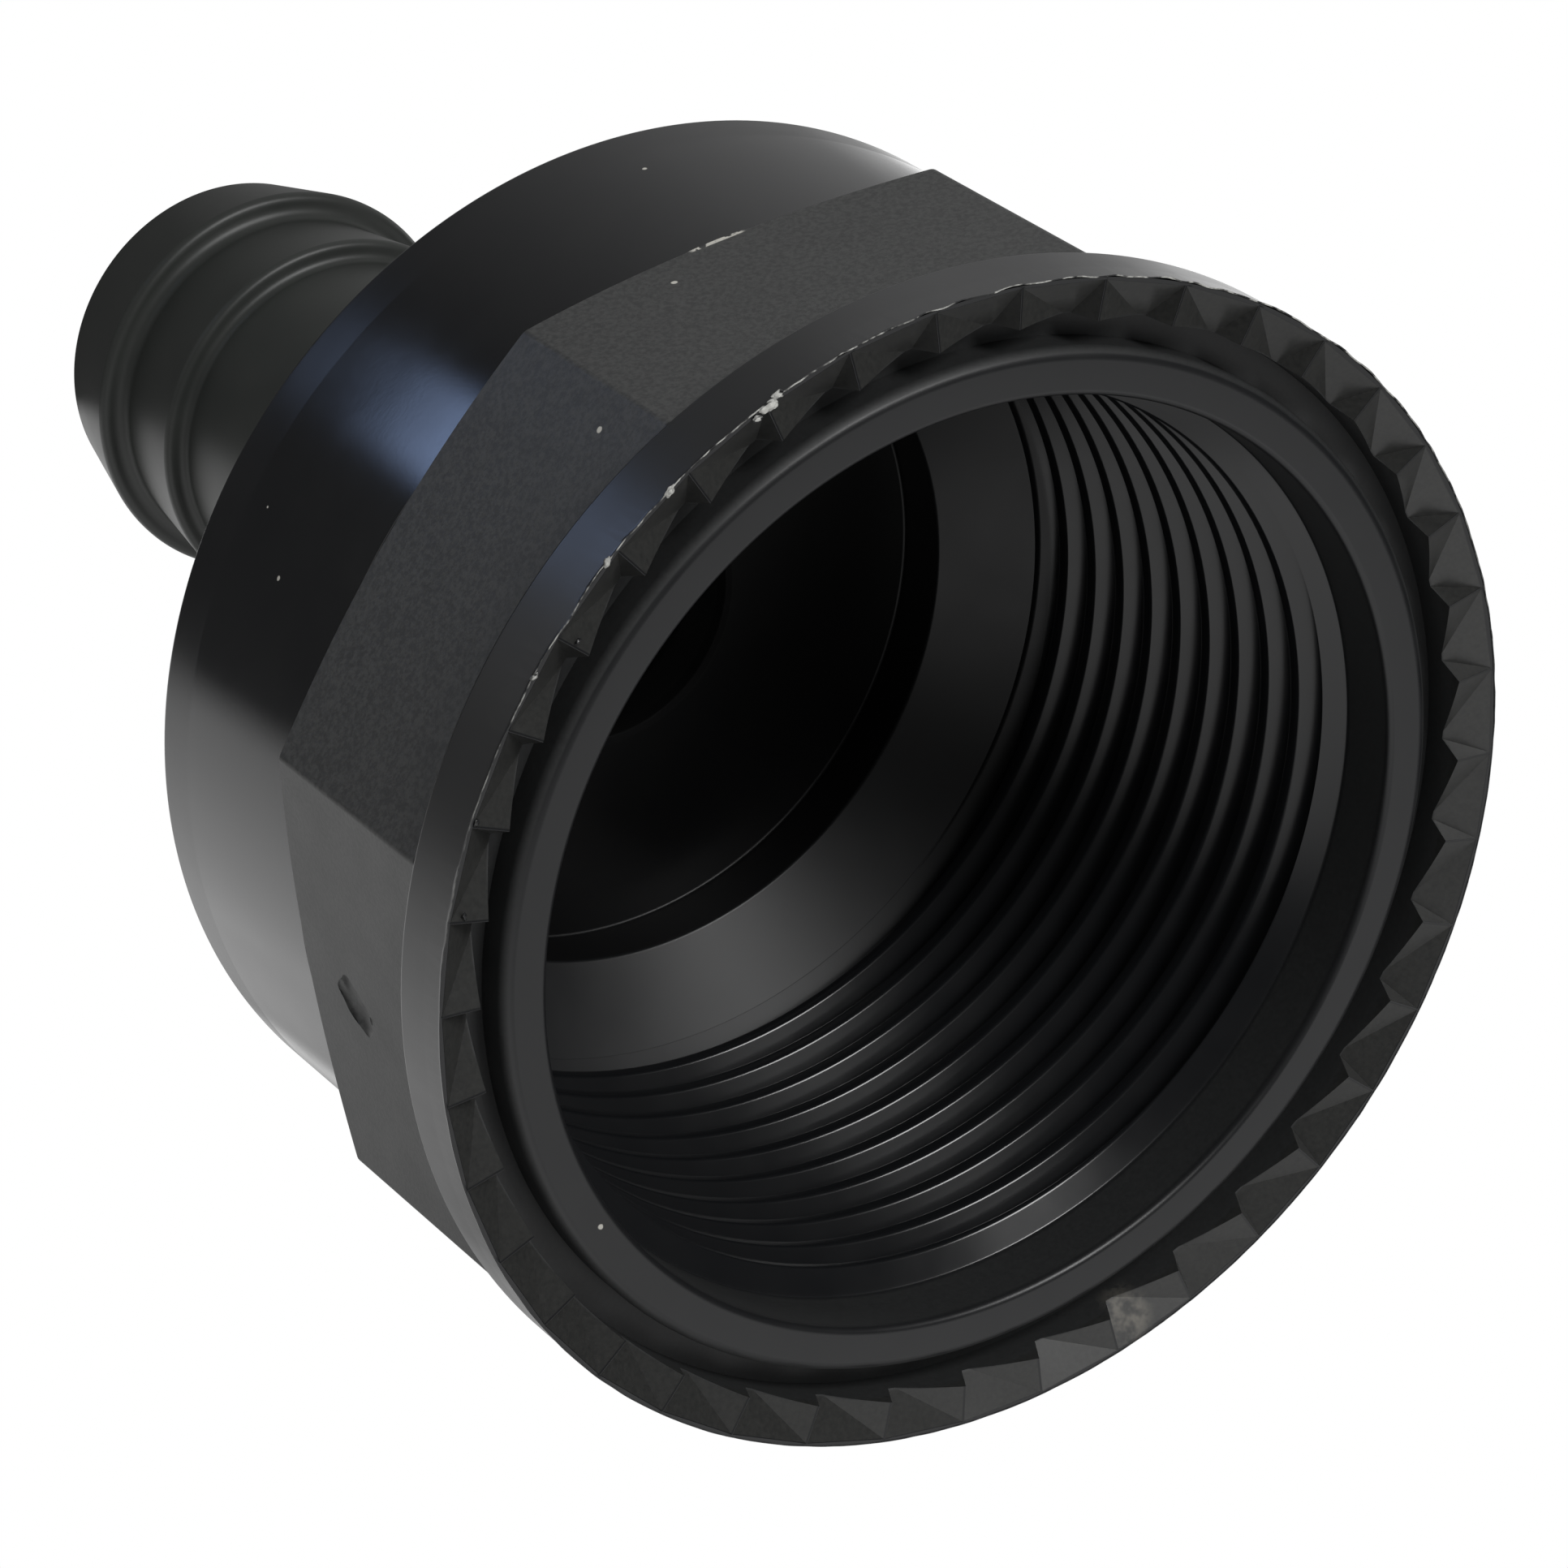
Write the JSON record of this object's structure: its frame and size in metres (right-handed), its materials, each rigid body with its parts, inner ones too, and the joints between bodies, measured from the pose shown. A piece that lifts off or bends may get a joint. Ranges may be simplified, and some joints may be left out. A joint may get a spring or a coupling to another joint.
{
  "type": "hose end fitting",
  "caption": "Black moulded hose end fitting: barbed hose tail, wrench flats, collar with a one-way ratchet ring and a parallel-threaded socket with a conical seat",
  "frame": {"origin": "centre of the hose tail's end, where the fitting stands on that end", "axes": "+Z runs along the fitting's axis, out of the threaded socket's mouth; +X is square to one of the wrench flats"},
  "size_m": [0.052, 0.052, 0.0674],
  "materials": {
    "moulded_plastic": "satin"
  },
  "bodies": {
    "root": {"fitting_body": "moulded_plastic"}
  },
  "joints": []
}
